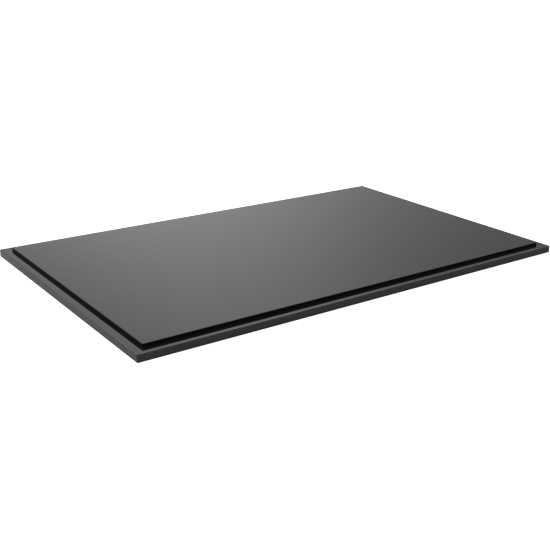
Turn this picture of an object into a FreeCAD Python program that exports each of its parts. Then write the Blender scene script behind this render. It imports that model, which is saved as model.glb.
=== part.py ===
import FreeCAD, Part
import os

# Two-level kick plate, lying on its back: X along the door's width, Y up the door, +Z out of the
# door. A thick carrier board is screwed to the door. A thinner face plate covers the screws and is
# held by magnets, located by two dowels, and lifts straight off along +Z. Sizes in millimetres.

# ---- driving sizes: the two boards ----
PANEL_LENGTH = 800.0          # carrier board, across the door
PANEL_HEIGHT = 500.0          # carrier board, up the door
BASE_THICKNESS = 12.0
FACE_THICKNESS = 5.0
LEDGE_WIDTH = 16.0            # how far the carrier shows all round the face plate
BASE_CORNER_RADIUS = 1.5      # upright corners of the carrier board
BASE_EDGE_RADIUS = 0.8        # softened front edge of the carrier board
BASE_BACK_CHAMFER = 0.5
FACE_CORNER_RADIUS = 1.2
FACE_EDGE_CHAMFER = 0.3       # polished arris of the face plate
PLATE_GAP = 0.3               # air between the two boards
BOND_GAP = 0.05               # glue line, each side, round every piece set into a pocket

# ---- screw cups: steel liners for eight countersunk wood screws ----
SCREW_INSET = 50.0            # screw centre to the carrier's edge
SCREW_HOLE_DIAMETER = 4.5
SCREW_HEAD_DIAMETER = 9.2     # mouth of the 90 degree countersink
SCREW_CUP_BODY = 9.0
SCREW_CUP_FLANGE = 14.0
SCREW_CUP_FLANGE_DEPTH = 3.0
SCREW_CUP_RECESS = 0.1        # cup's ends below the board's faces

# ---- pot magnets: steel cup, ring magnet, screw and threaded insert ----
MAGNET_END_INSET = 130.0      # outer magnets to the carrier's short edges
MAGNET_SIDE_INSET = 120.0     # magnet rows to the carrier's long edges
POT_DIAMETER = 20.0
POT_HEIGHT = 6.0
POT_WALL = 1.5
POT_FLOOR = 2.4
RING_HOLE_DIAMETER = 9.6
RING_RECESS = 0.2             # ring magnet below the pot's rim
RING_GAP = 0.1
POT_SCREW_DIAMETER = 4.0
POT_SCREW_HEAD = 7.6
POT_SCREW_CLEARANCE = 0.15    # each side, screw in the pot's floor
POT_SCREW_SOCKET = 2.5        # hexagon socket, across flats
POT_SCREW_SOCKET_DEPTH = 1.2
INSERT_DIAMETER = 6.0
INSERT_FLANGE_DIAMETER = 7.6
INSERT_FLANGE_DEPTH = 0.6
THREAD_GAP = 0.05             # each side, screw in its insert
REAR_SKIN = 1.0               # board left behind the insert
SCREW_TIP_GAP = 0.3

# ---- steel keepers in the back of the face plate ----
KEEPER_DIAMETER = 22.0
KEEPER_THICKNESS = 2.0
KEEPER_PAD_THICKNESS = 0.2    # adhesive disc behind each keeper

# ---- locating dowels and their bushes ----
DOWEL_INSET = 80.0            # dowel centre to the carrier's short edge
DOWEL_DIAMETER = 6.0
DOWEL_SKIN = 4.0              # board left behind the dowel
DOWEL_LEAD = 0.6              # chamfer at the dowel's tip
DOWEL_TIP_GAP = 0.6
DOWEL_FIT = 0.08              # each side, dowel in its bush
BUSH_DIAMETER = 12.0
BUSH_LENGTH = 18.0            # slotted bush, end to end
BUSH_SKIN = 2.0               # face plate left in front of the bush
SLOT_TRAVEL = 2.0             # room for the face plate to grow with heat

# ---- seals and rest pads ----
FACE_SEAL_INSET = 12.0        # face plate's edge to the seal's outside
FACE_SEAL_WIDTH = 2.4
FACE_SEAL_DEPTH = 2.0
REAR_SEAL_INSET = 14.0        # carrier's edge to the seal's outside
REAR_SEAL_WIDTH = 5.0
REAR_SEAL_DEPTH = 2.0
SEAL_CORNER_RADIUS = 8.0
SEAL_GROOVE_GAP = 0.1
SEAL_LIP_RADIUS = 0.5
PAD_DIAMETER = 10.0
PAD_THICKNESS = 1.4
PAD_SIDE_INSET = 50.0         # pad rows to the carrier's long edges
PAD_END_INSET = 200.0         # outer pads to the carrier's short edges
SEAT_GAP = 0.05               # seal and pads stop this short of the face plate

# ---- coin slot for lifting the face plate, in the middle of its +X edge ----
COIN_SLOT_WIDTH = 40.0
COIN_SLOT_DEPTH = 8.0
COIN_SLOT_HEIGHT = 2.0

# ---- places worked out from the sizes ----
UP = FreeCAD.Vector(0, 0, 1)
CUT_OVER = 1.0                # how far a cutter runs past the face that it opens
SMALL = 1e-6
FACE_LENGTH = PANEL_LENGTH - 2 * LEDGE_WIDTH
FACE_HEIGHT = PANEL_HEIGHT - 2 * LEDGE_WIDTH
FACE_BACK = BASE_THICKNESS + PLATE_GAP
SOFT_TOP = FACE_BACK - SEAT_GAP

SCREW_X = PANEL_LENGTH / 2 - SCREW_INSET
SCREW_Y = PANEL_HEIGHT / 2 - SCREW_INSET
SCREW_PLACES = [(x, y) for x in (-SCREW_X, 0, SCREW_X) for y in (-SCREW_Y, 0, SCREW_Y) if (x, y) != (0, 0)]

MAGNET_X = PANEL_LENGTH / 2 - MAGNET_END_INSET
MAGNET_Y = PANEL_HEIGHT / 2 - MAGNET_SIDE_INSET
MAGNET_PLACES = [(x, y) for x in (-MAGNET_X, 0, MAGNET_X) for y in (-MAGNET_Y, MAGNET_Y)]

DOWEL_X = PANEL_LENGTH / 2 - DOWEL_INSET
PAD_X = PANEL_LENGTH / 2 - PAD_END_INSET
PAD_Y = PANEL_HEIGHT / 2 - PAD_SIDE_INSET
PAD_PLACES = [(x, y) for x in (-PAD_X, PAD_X) for y in (-PAD_Y, 0, PAD_Y)]

POT_SEAT = BASE_THICKNESS - POT_HEIGHT
BUSH_HEIGHT = FACE_THICKNESS - BUSH_SKIN
DOWEL_FOOT = DOWEL_SKIN
DOWEL_TIP = FACE_BACK + BUSH_HEIGHT - DOWEL_TIP_GAP


def place(x, y, z):
    return FreeCAD.Vector(x, y, z)


def disc(diameter, low, high, x=0.0, y=0.0):
    """Upright cylinder between two heights."""
    return Part.makeCylinder(diameter / 2, high - low, place(x, y, low), UP)


def cone(low_diameter, high_diameter, low, high, x=0.0, y=0.0):
    """Upright frustum between two heights."""
    return Part.makeCone(low_diameter / 2, high_diameter / 2, high - low, place(x, y, low), UP)


def slab(length, width, low, high, corner_radius):
    """Flat block centred on the Z axis, with rounded upright corners."""
    block = Part.makeBox(length, width, high - low, place(-length / 2, -width / 2, low))
    upright = [edge for edge in block.Edges if edge.BoundBox.ZLength > SMALL]
    return block.makeFillet(corner_radius, upright)


def rim_edges(solid, height):
    """Edges that lie wholly at one height."""
    return [edge for edge in solid.Edges
            if abs(edge.BoundBox.ZMin - height) < SMALL and abs(edge.BoundBox.ZMax - height) < SMALL]


def loop_strip(length, width, strip, corner_radius, low, high):
    """Closed rectangular strip: a rounded frame of one width."""
    outer = slab(length, width, low, high, corner_radius)
    low, high = low - CUT_OVER, high + CUT_OVER
    inner = slab(length - 2 * strip, width - 2 * strip, low, high, corner_radius - strip)
    return outer.cut(inner)


def stadium(length, diameter, low, high, x=0.0, y=0.0):
    """Upright prism with round ends, long along X."""
    reach = (length - diameter) / 2
    middle = Part.makeBox(2 * reach, diameter, high - low, place(x - reach, y - diameter / 2, low))
    ends = [disc(diameter, low, high, x + side * reach, y) for side in (-1, 1)]
    return middle.fuse(ends).removeSplitter()


def everywhere(make, places):
    """One compound of the same solid made at every place."""
    return Part.makeCompound([make(x, y) for x, y in places])


# ---- base body ----
def screw_cup(x, y):
    low = SCREW_CUP_RECESS
    high = BASE_THICKNESS - SCREW_CUP_RECESS
    sink = (SCREW_HEAD_DIAMETER - SCREW_HOLE_DIAMETER) / 2
    body = disc(SCREW_CUP_BODY, low, high, x, y)
    flange = disc(SCREW_CUP_FLANGE, high - SCREW_CUP_FLANGE_DEPTH, high, x, y)
    hole = disc(SCREW_HOLE_DIAMETER, 0, BASE_THICKNESS, x, y)
    mouth = cone(SCREW_HOLE_DIAMETER, SCREW_HEAD_DIAMETER, high - sink, high, x, y)
    return body.fuse(flange).cut(hole).cut(mouth).removeSplitter()


def screw_cup_seat(x, y):
    step = BASE_THICKNESS - SCREW_CUP_RECESS - SCREW_CUP_FLANGE_DEPTH
    bore = disc(SCREW_CUP_BODY + 2 * BOND_GAP, -CUT_OVER, BASE_THICKNESS + CUT_OVER, x, y)
    counterbore = disc(SCREW_CUP_FLANGE + 2 * BOND_GAP, step, BASE_THICKNESS + CUT_OVER, x, y)
    return bore.fuse(counterbore)


def pot_cup(x, y):
    rim = BASE_THICKNESS
    floor = POT_SEAT + POT_FLOOR
    hole = POT_SCREW_DIAMETER + 2 * POT_SCREW_CLEARANCE
    mouth = POT_SCREW_HEAD + 2 * POT_SCREW_CLEARANCE
    cup = disc(POT_DIAMETER, POT_SEAT, rim, x, y)
    cup = cup.cut(disc(POT_DIAMETER - 2 * POT_WALL, floor, rim + CUT_OVER, x, y))
    cup = cup.cut(disc(hole, POT_SEAT - CUT_OVER, rim, x, y))
    return cup.cut(cone(hole, mouth, floor - (mouth - hole) / 2, floor, x, y))


def pot_ring(x, y):
    low = POT_SEAT + POT_FLOOR
    high = BASE_THICKNESS - RING_RECESS
    ring = disc(POT_DIAMETER - 2 * POT_WALL - 2 * RING_GAP, low, high, x, y)
    return ring.cut(disc(RING_HOLE_DIAMETER, low - CUT_OVER, high + CUT_OVER, x, y))


def hexagon(across_flats, low, high, x, y):
    corner = across_flats / 3 ** 0.5
    points = [place(x + corner, y, low)]
    for turn in range(1, 7):
        points.append(FreeCAD.Rotation(UP, 60 * turn).multVec(place(corner, 0, 0)) + place(x, y, low))
    return Part.Face(Part.makePolygon(points)).extrude(UP * (high - low))


def pot_screw(x, y):
    top = POT_SEAT + POT_FLOOR
    sink = (POT_SCREW_HEAD - POT_SCREW_DIAMETER) / 2
    head = cone(POT_SCREW_DIAMETER, POT_SCREW_HEAD, top - sink, top, x, y)
    shank = disc(POT_SCREW_DIAMETER, REAR_SKIN + SCREW_TIP_GAP, top - sink, x, y)
    socket = hexagon(POT_SCREW_SOCKET, top - POT_SCREW_SOCKET_DEPTH, top + CUT_OVER, x, y)
    return head.fuse(shank).cut(socket)


def thread_insert(x, y):
    body = disc(INSERT_DIAMETER, REAR_SKIN, POT_SEAT, x, y)
    flange = disc(INSERT_FLANGE_DIAMETER, POT_SEAT - INSERT_FLANGE_DEPTH, POT_SEAT, x, y)
    bore = disc(POT_SCREW_DIAMETER + 2 * THREAD_GAP, REAR_SKIN - CUT_OVER, POT_SEAT + CUT_OVER, x, y)
    return body.fuse(flange).cut(bore)


def pot_seat(x, y):
    pocket = disc(POT_DIAMETER + 2 * BOND_GAP, POT_SEAT, BASE_THICKNESS + CUT_OVER, x, y)
    step = POT_SEAT - INSERT_FLANGE_DEPTH
    flange = disc(INSERT_FLANGE_DIAMETER + 2 * BOND_GAP, step, POT_SEAT + CUT_OVER, x, y)
    bore = disc(INSERT_DIAMETER + 2 * BOND_GAP, REAR_SKIN, POT_SEAT, x, y)
    return pocket.fuse([flange, bore])


def dowel(x, y):
    body = disc(DOWEL_DIAMETER, DOWEL_FOOT, DOWEL_TIP, x, y)
    return body.makeChamfer(DOWEL_LEAD, rim_edges(body, DOWEL_TIP))


def dowel_seat(x, y):
    return disc(DOWEL_DIAMETER + 2 * BOND_GAP, DOWEL_FOOT, BASE_THICKNESS + CUT_OVER, x, y)


def rest_pad(x, y):
    pad = disc(PAD_DIAMETER, SOFT_TOP - PAD_THICKNESS, SOFT_TOP, x, y)
    return pad.makeFillet(SEAL_LIP_RADIUS, rim_edges(pad, SOFT_TOP))


def rest_pad_seat(x, y):
    return disc(PAD_DIAMETER + 2 * BOND_GAP, SOFT_TOP - PAD_THICKNESS, BASE_THICKNESS + CUT_OVER, x, y)


def face_seal():
    length = FACE_LENGTH - 2 * FACE_SEAL_INSET
    width = FACE_HEIGHT - 2 * FACE_SEAL_INSET
    strip = loop_strip(length, width, FACE_SEAL_WIDTH, SEAL_CORNER_RADIUS,
                       SOFT_TOP - FACE_SEAL_DEPTH, SOFT_TOP)
    return strip.makeFillet(SEAL_LIP_RADIUS, rim_edges(strip, SOFT_TOP))


def face_seal_groove():
    grow = 2 * SEAL_GROOVE_GAP
    length = FACE_LENGTH - 2 * FACE_SEAL_INSET + grow
    width = FACE_HEIGHT - 2 * FACE_SEAL_INSET + grow
    return loop_strip(length, width, FACE_SEAL_WIDTH + grow, SEAL_CORNER_RADIUS + SEAL_GROOVE_GAP,
                      SOFT_TOP - FACE_SEAL_DEPTH, BASE_THICKNESS + CUT_OVER)


def rear_seal():
    length = PANEL_LENGTH - 2 * REAR_SEAL_INSET
    width = PANEL_HEIGHT - 2 * REAR_SEAL_INSET
    return loop_strip(length, width, REAR_SEAL_WIDTH, SEAL_CORNER_RADIUS, 0, REAR_SEAL_DEPTH)


def rear_seal_groove():
    grow = 2 * SEAL_GROOVE_GAP
    length = PANEL_LENGTH - 2 * REAR_SEAL_INSET + grow
    width = PANEL_HEIGHT - 2 * REAR_SEAL_INSET + grow
    return loop_strip(length, width, REAR_SEAL_WIDTH + grow, SEAL_CORNER_RADIUS + SEAL_GROOVE_GAP,
                      -CUT_OVER, REAR_SEAL_DEPTH)


def carrier_board():
    board = slab(PANEL_LENGTH, PANEL_HEIGHT, 0, BASE_THICKNESS, BASE_CORNER_RADIUS)
    board = board.makeFillet(BASE_EDGE_RADIUS, rim_edges(board, BASE_THICKNESS))
    board = board.makeChamfer(BASE_BACK_CHAMFER, rim_edges(board, 0))
    seats = [screw_cup_seat(x, y) for x, y in SCREW_PLACES]
    seats += [pot_seat(x, y) for x, y in MAGNET_PLACES]
    seats += [dowel_seat(side * DOWEL_X, 0) for side in (-1, 1)]
    seats += [rest_pad_seat(x, y) for x, y in PAD_PLACES]
    seats += [face_seal_groove(), rear_seal_groove()]
    return board.cut(seats)


# ---- lift-off face body ----
def keeper_disc(x, y):
    return disc(KEEPER_DIAMETER, FACE_BACK, FACE_BACK + KEEPER_THICKNESS, x, y)


def keeper_pad(x, y):
    low = FACE_BACK + KEEPER_THICKNESS
    return disc(KEEPER_DIAMETER, low, low + KEEPER_PAD_THICKNESS, x, y)


def keeper_seat(x, y):
    top = FACE_BACK + KEEPER_THICKNESS + KEEPER_PAD_THICKNESS
    return disc(KEEPER_DIAMETER + 2 * BOND_GAP, FACE_BACK - CUT_OVER, top, x, y)


def round_bush():
    high = FACE_BACK + BUSH_HEIGHT
    bush = disc(BUSH_DIAMETER, FACE_BACK, high, -DOWEL_X, 0)
    hole = DOWEL_DIAMETER + 2 * DOWEL_FIT
    return bush.cut(disc(hole, FACE_BACK - CUT_OVER, high + CUT_OVER, -DOWEL_X, 0))


def slotted_bush():
    high = FACE_BACK + BUSH_HEIGHT
    bush = stadium(BUSH_LENGTH, BUSH_DIAMETER, FACE_BACK, high, DOWEL_X, 0)
    hole = DOWEL_DIAMETER + 2 * DOWEL_FIT
    return bush.cut(stadium(hole + SLOT_TRAVEL, hole, FACE_BACK - CUT_OVER, high + CUT_OVER, DOWEL_X, 0))


def coin_slot():
    corner = place(FACE_LENGTH / 2 - COIN_SLOT_DEPTH, -COIN_SLOT_WIDTH / 2, FACE_BACK - CUT_OVER)
    return Part.makeBox(COIN_SLOT_DEPTH + CUT_OVER, COIN_SLOT_WIDTH, COIN_SLOT_HEIGHT + CUT_OVER, corner)


def face_plate():
    top = FACE_BACK + FACE_THICKNESS
    grow = 2 * BOND_GAP
    plate = slab(FACE_LENGTH, FACE_HEIGHT, FACE_BACK, top, FACE_CORNER_RADIUS)
    plate = plate.makeChamfer(FACE_EDGE_CHAMFER, rim_edges(plate, top))
    seats = [keeper_seat(x, y) for x, y in MAGNET_PLACES]
    low, high = FACE_BACK - CUT_OVER, FACE_BACK + BUSH_HEIGHT
    seats.append(disc(BUSH_DIAMETER + grow, low, high, -DOWEL_X, 0))
    seats.append(stadium(BUSH_LENGTH + grow, BUSH_DIAMETER + grow, low, high, DOWEL_X, 0))
    seats.append(coin_slot())
    return plate.cut(seats)


NODES = {
    "carrier_board": carrier_board(),
    "screw_cups": everywhere(screw_cup, SCREW_PLACES),
    "magnet_pots": everywhere(pot_cup, MAGNET_PLACES),
    "magnet_rings": everywhere(pot_ring, MAGNET_PLACES),
    "magnet_screws": everywhere(pot_screw, MAGNET_PLACES),
    "threaded_inserts": everywhere(thread_insert, MAGNET_PLACES),
    "locating_dowels": everywhere(dowel, [(-DOWEL_X, 0), (DOWEL_X, 0)]),
    "rest_pads": everywhere(rest_pad, PAD_PLACES),
    "face_seal": face_seal(),
    "rear_seal": rear_seal(),
    "face_plate": face_plate(),
    "keeper_discs": everywhere(keeper_disc, MAGNET_PLACES),
    "keeper_pads": everywhere(keeper_pad, MAGNET_PLACES),
    "round_dowel_bush": round_bush(),
    "slotted_dowel_bush": slotted_bush(),
}

os.makedirs("parts", exist_ok=True)
for node, shape in NODES.items():
    shape.exportStep("parts/" + node + ".step")
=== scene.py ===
"""Kick plate: finished surfaces, materials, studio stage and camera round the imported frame."""
import math

import bpy
import numpy as np
from bpy.props import FloatProperty, FloatVectorProperty, IntProperty, PointerProperty
from mathutils import Matrix, Vector


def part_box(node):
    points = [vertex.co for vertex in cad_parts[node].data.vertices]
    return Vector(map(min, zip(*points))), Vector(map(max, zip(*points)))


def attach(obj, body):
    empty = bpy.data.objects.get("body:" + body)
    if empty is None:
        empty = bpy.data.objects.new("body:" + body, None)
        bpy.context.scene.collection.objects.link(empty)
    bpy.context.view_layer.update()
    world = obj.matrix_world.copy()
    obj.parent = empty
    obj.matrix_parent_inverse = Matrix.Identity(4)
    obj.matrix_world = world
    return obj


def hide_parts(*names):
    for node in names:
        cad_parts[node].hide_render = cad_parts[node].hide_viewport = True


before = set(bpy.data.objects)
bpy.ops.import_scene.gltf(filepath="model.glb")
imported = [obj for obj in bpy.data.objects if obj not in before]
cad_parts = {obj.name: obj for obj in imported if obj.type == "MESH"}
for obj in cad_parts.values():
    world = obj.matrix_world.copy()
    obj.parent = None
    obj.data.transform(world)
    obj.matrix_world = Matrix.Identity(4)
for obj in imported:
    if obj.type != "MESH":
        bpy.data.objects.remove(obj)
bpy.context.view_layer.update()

bl_info = {
    "name": "Kick plate",
    "version": (1, 0, 0),
    "blender": (4, 5, 0),
    "location": "View3D > Sidebar > Kick plate",
    "description": "Builds a two-level gloss black kick plate with a lift-off face plate",
    "category": "Object",
}

MM = 0.001
CARRIER = "carrier"
FACE = "face"
OVERSHOOT = 1 * MM                 # how far a cutter runs past the face that it opens
FLAT_BORDER = 0.4 * MM             # level strip round a flat face, which keeps its shading level
SMOOTH_BELOW = math.radians(32)    # neighbouring faces closer than this shade as one
FULL_TURN = 2 * math.pi
ROUND_STEPS = 48                   # points round a thread, a bush or a slot
LONGEST_CUT = 0.45                 # share of its shorter side that a rounded corner may use up

BOARD_LOW, BOARD_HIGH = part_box("carrier_board")
PLATE_LOW, PLATE_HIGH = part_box("face_plate")


# ---- settings ----
class BoardSettings(bpy.types.PropertyGroup):
    """The two gloss black boards."""
    colour: FloatVectorProperty(
        name="Colour", description="Body colour of the black acrylic sheet",
        subtype="COLOR", size=3, min=0, max=1, default=(0.0026, 0.00285, 0.00278))
    face_roughness: FloatProperty(
        name="Face roughness", description="Roughness of the polished faces", default=0.035, min=0, max=1)
    carrier_edge_roughness: FloatProperty(
        name="Carrier edge roughness", description="Roughness of the carrier's satin edges",
        default=0.3, min=0, max=1)
    carrier_edge_specular: FloatProperty(
        name="Carrier edge specular",
        description="Specular level of the satin edges, 0.5 for a full polish",
        default=0.02, min=0, max=1)
    carrier_edge_body: FloatProperty(
        name="Carrier edge body", description="How many times lighter a satin edge is than the face",
        default=11, min=1)
    plate_edge_roughness: FloatProperty(
        name="Plate edge roughness", description="Roughness of the face plate's polished edges",
        default=0.08, min=0, max=1)
    plate_edge_specular: FloatProperty(
        name="Plate edge specular",
        description="Specular level of the polished edges, 0.5 for a full polish",
        default=0.1, min=0, max=1)
    carrier_corner: FloatProperty(
        name="Carrier corner", description="Radius of the carrier board's upright corners",
        unit="LENGTH", default=1.5 * MM, min=0)
    carrier_round: FloatProperty(
        name="Carrier rounding", description="Radius along the carrier board's front edge",
        unit="LENGTH", default=0.8 * MM, min=0)
    carrier_back_chamfer: FloatProperty(
        name="Back chamfer", description="Chamfer round the carrier board's back",
        unit="LENGTH", default=0.5 * MM, min=0)
    plate_corner: FloatProperty(
        name="Plate corner", description="Radius of the face plate's upright corners",
        unit="LENGTH", default=1.2 * MM, min=0)
    plate_arris: FloatProperty(
        name="Plate arris", description="Polished chamfer round the face plate's front",
        unit="LENGTH", default=0.3 * MM, min=0)
    pocket_arris: FloatProperty(
        name="Pocket arris", description="Chamfer round the mouth of each milled pocket",
        unit="LENGTH", default=0.25 * MM, min=0)
    bond_gap: FloatProperty(
        name="Glue line", description="Gap on each side of a piece set into a pocket",
        unit="LENGTH", default=0.05 * MM, min=0)
    coin_slot_width: FloatProperty(
        name="Coin slot width", description="Width of the slot for lifting the face plate",
        unit="LENGTH", default=40 * MM, min=0)
    coin_slot_depth: FloatProperty(
        name="Coin slot depth", description="Reach of the slot in from the plate's edge",
        unit="LENGTH", default=8 * MM, min=0)
    coin_slot_height: FloatProperty(
        name="Coin slot height", description="Height of the slot in the plate's back",
        unit="LENGTH", default=2 * MM, min=0)


class FixingSettings(bpy.types.PropertyGroup):
    """Screw cups, magnets, screws, inserts, dowels, bushes and keepers."""
    cup_body: FloatProperty(
        name="Cup body", description="Outside diameter of a screw cup's body",
        unit="LENGTH", default=9 * MM, min=0)
    cup_flange: FloatProperty(
        name="Cup flange", description="Diameter of a screw cup's flange",
        unit="LENGTH", default=14 * MM, min=0)
    cup_flange_depth: FloatProperty(
        name="Cup flange depth", description="Thickness of a screw cup's flange",
        unit="LENGTH", default=3 * MM, min=0)
    cup_hole: FloatProperty(
        name="Cup hole", description="Diameter of the mounting screw's hole",
        unit="LENGTH", default=4.5 * MM, min=0)
    cup_mouth: FloatProperty(
        name="Cup mouth", description="Diameter of the countersink's mouth",
        unit="LENGTH", default=9.2 * MM, min=0)
    pot_diameter: FloatProperty(
        name="Pot diameter", description="Outside diameter of a magnet's steel cup",
        unit="LENGTH", default=20 * MM, min=0)
    pot_wall: FloatProperty(
        name="Pot wall", description="Wall of a magnet's steel cup",
        unit="LENGTH", default=1.5 * MM, min=0)
    pot_floor: FloatProperty(
        name="Pot floor", description="Floor of a magnet's steel cup",
        unit="LENGTH", default=2.4 * MM, min=0)
    ring_hole: FloatProperty(
        name="Ring hole", description="Hole in a ring magnet", unit="LENGTH", default=9.6 * MM, min=0)
    screw_diameter: FloatProperty(
        name="Screw diameter", description="Outside diameter of a magnet screw's thread",
        unit="LENGTH", default=4 * MM, min=0)
    screw_pitch: FloatProperty(
        name="Screw pitch", description="Rise of the thread in one turn",
        unit="LENGTH", default=0.7 * MM, min=0)
    screw_head: FloatProperty(
        name="Screw head", description="Diameter of a magnet screw's head",
        unit="LENGTH", default=7.6 * MM, min=0)
    socket_flats: FloatProperty(
        name="Socket", description="Hexagon socket across its flats",
        unit="LENGTH", default=2.5 * MM, min=0)
    socket_depth: FloatProperty(
        name="Socket depth", description="Depth of the hexagon socket",
        unit="LENGTH", default=1.2 * MM, min=0)
    insert_diameter: FloatProperty(
        name="Insert diameter", description="Diameter over an insert's knurl",
        unit="LENGTH", default=6 * MM, min=0)
    insert_flange: FloatProperty(
        name="Insert flange", description="Diameter of an insert's flange",
        unit="LENGTH", default=7.6 * MM, min=0)
    insert_flange_depth: FloatProperty(
        name="Insert flange depth", description="Thickness of an insert's flange",
        unit="LENGTH", default=0.6 * MM, min=0)
    knurl_teeth: IntProperty(name="Knurl teeth", description="Teeth round an insert", default=24, min=3)
    dowel_diameter: FloatProperty(
        name="Dowel diameter", description="Diameter of a locating dowel",
        unit="LENGTH", default=6 * MM, min=0)
    bush_diameter: FloatProperty(
        name="Bush diameter", description="Outside diameter of a dowel bush",
        unit="LENGTH", default=12 * MM, min=0)
    dowel_fit: FloatProperty(
        name="Dowel fit", description="Gap on each side of a dowel in its bush",
        unit="LENGTH", default=0.08 * MM, min=0)
    slot_travel: FloatProperty(
        name="Slot travel", description="Room along the slotted bush for heat growth",
        unit="LENGTH", default=2 * MM, min=0)
    keeper_diameter: FloatProperty(
        name="Keeper diameter", description="Diameter of a steel keeper",
        unit="LENGTH", default=22 * MM, min=0)
    steel_colour: FloatVectorProperty(
        name="Steel", description="Colour of turned and ground stainless steel",
        subtype="COLOR", size=3, min=0, max=1, default=(0.52, 0.515, 0.5))
    zinc_colour: FloatVectorProperty(
        name="Zinc", description="Colour of bright zinc plate",
        subtype="COLOR", size=3, min=0, max=1, default=(0.6, 0.61, 0.63))
    nickel_colour: FloatVectorProperty(
        name="Nickel", description="Colour of the magnets' nickel plate",
        subtype="COLOR", size=3, min=0, max=1, default=(0.66, 0.63, 0.57))
    brass_colour: FloatVectorProperty(
        name="Brass", description="Colour of the turned brass inserts",
        subtype="COLOR", size=3, min=0, max=1, default=(0.72, 0.5, 0.2))
    nylon_colour: FloatVectorProperty(
        name="Nylon", description="Colour of the dowel bushes",
        subtype="COLOR", size=3, min=0, max=1, default=(0.78, 0.76, 0.68))
    tape_colour: FloatVectorProperty(
        name="Tape", description="Colour of the keepers' adhesive discs",
        subtype="COLOR", size=3, min=0, max=1, default=(0.72, 0.72, 0.69))


class SoftSettings(bpy.types.PropertyGroup):
    """Seals and rest pads."""
    face_seal_width: FloatProperty(
        name="Face seal width", description="Width of the lipped seal",
        unit="LENGTH", default=2.4 * MM, min=0)
    face_seal_lip: FloatProperty(
        name="Lip height", description="Depth of the hollow between the seal's two lips",
        unit="LENGTH", default=0.45 * MM, min=0)
    rear_seal_width: FloatProperty(
        name="Rear seal width", description="Width of the foam strip",
        unit="LENGTH", default=5 * MM, min=0)
    corner: FloatProperty(
        name="Seal corner", description="Outside corner radius of both seals",
        unit="LENGTH", default=8 * MM, min=0)
    groove_gap: FloatProperty(
        name="Groove gap", description="Gap on each side of a seal in its groove",
        unit="LENGTH", default=0.1 * MM, min=0)
    pad_diameter: FloatProperty(
        name="Pad diameter", description="Diameter of a rest pad", unit="LENGTH", default=10 * MM, min=0)
    seal_colour: FloatVectorProperty(
        name="Seal", description="Colour of the silicone seal",
        subtype="COLOR", size=3, min=0, max=1, default=(0.028, 0.028, 0.03))
    foam_colour: FloatVectorProperty(
        name="Foam", description="Colour of the closed-cell foam strip",
        subtype="COLOR", size=3, min=0, max=1, default=(0.04, 0.04, 0.041))
    pad_colour: FloatVectorProperty(
        name="Pads", description="Colour of the polyurethane rest pads",
        subtype="COLOR", size=3, min=0, max=1, default=(0.13, 0.13, 0.135))


class StageSettings(bpy.types.PropertyGroup):
    """Floor, light and camera."""
    floor_size: FloatProperty(
        name="Floor size", description="Side of the square floor", unit="LENGTH", default=36, min=1)
    floor_colour: FloatVectorProperty(
        name="Floor colour", description="Colour of the matte floor",
        subtype="COLOR", size=3, min=0, max=1, default=(0.4, 0.4, 0.4))
    backdrop_lift: FloatProperty(
        name="Backdrop lift", description="Light added to the floor where it is seen directly",
        default=0.85, min=0)
    key_strength: FloatProperty(
        name="Key strength", description="Strength of the key light",
        default=7.9, min=0)
    key_heading: FloatProperty(
        name="Key heading", description="Compass direction of the key light, from +Y towards +X",
        subtype="ANGLE", default=math.radians(-35))
    key_height: FloatProperty(
        name="Key height", description="Elevation of the key light",
        subtype="ANGLE", default=math.radians(22))
    key_spread: FloatProperty(
        name="Key spread", description="Angle that the key light fills",
        subtype="ANGLE", default=math.radians(24))
    base_light: FloatProperty(
        name="Base light", description="Radiance of the studio wall away from its lit boards",
        default=0.29, min=0)
    overhead_light: FloatProperty(
        name="Overhead light", description="Radiance of the ceiling's soft light", default=2.2, min=0)
    lens: FloatProperty(name="Lens", description="Focal length in millimetres", default=58.368, min=1)
    heading: FloatProperty(
        name="Camera heading", description="Turn of the camera round the object",
        subtype="ANGLE", default=math.radians(-35.693))
    height: FloatProperty(
        name="Camera height", description="Elevation of the camera",
        subtype="ANGLE", default=math.radians(20.020))
    roll: FloatProperty(
        name="Camera roll", description="Roll of the camera about its own axis",
        subtype="ANGLE", default=math.radians(0.771))
    distance: FloatProperty(
        name="Camera distance", description="Distance from the camera to the object's middle",
        unit="LENGTH", default=1.5289, min=0)
    offset_right: FloatProperty(
        name="Offset right", description="Camera's place along its own right",
        unit="LENGTH", default=-0.00815)
    offset_up: FloatProperty(
        name="Offset up", description="Camera's place along its own up", unit="LENGTH", default=-0.03579)


# ---- surfaces ----
def unit_circle(steps):
    """Counter-clockwise unit vectors: cosine and sine of even steps of one turn."""
    angle = np.arange(steps) * FULL_TURN / steps
    return np.stack([np.cos(angle), np.sin(angle)], -1)


def round_corners(outline, radius, steps=4, closed=True):
    """An outline with each corner replaced by an arc that touches both of its sides.

    The arc's ends lie a cut back from the corner, the radius over the tangent of half the angle
    between the sides, and its centre lies on their bisector.
    """
    outline = np.asarray(outline, float)
    made = []
    for i, corner in enumerate(outline):
        if not closed and i in (0, len(outline) - 1):
            made.append(corner[None])
            continue
        before = outline[i - 1] - corner
        after = outline[(i + 1) % len(outline)] - corner
        room = min(np.linalg.norm(before), np.linalg.norm(after)) * LONGEST_CUT
        before /= np.linalg.norm(before)
        after /= np.linalg.norm(after)
        half = math.acos(np.clip(before @ after, -1, 1)) / 2
        cut = min(radius / math.tan(half), room)
        centre = corner + (before + after) / np.linalg.norm(before + after) * cut / math.cos(half)
        start = corner + before * cut - centre
        end = corner + after * cut - centre
        turn = math.pi - 2 * half
        t = np.linspace(0, 1, steps + 1)[:, None]
        made.append(centre + (start * np.sin((1 - t) * turn) + end * np.sin(t * turn)) / math.sin(turn))
    return np.concatenate(made)


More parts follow.
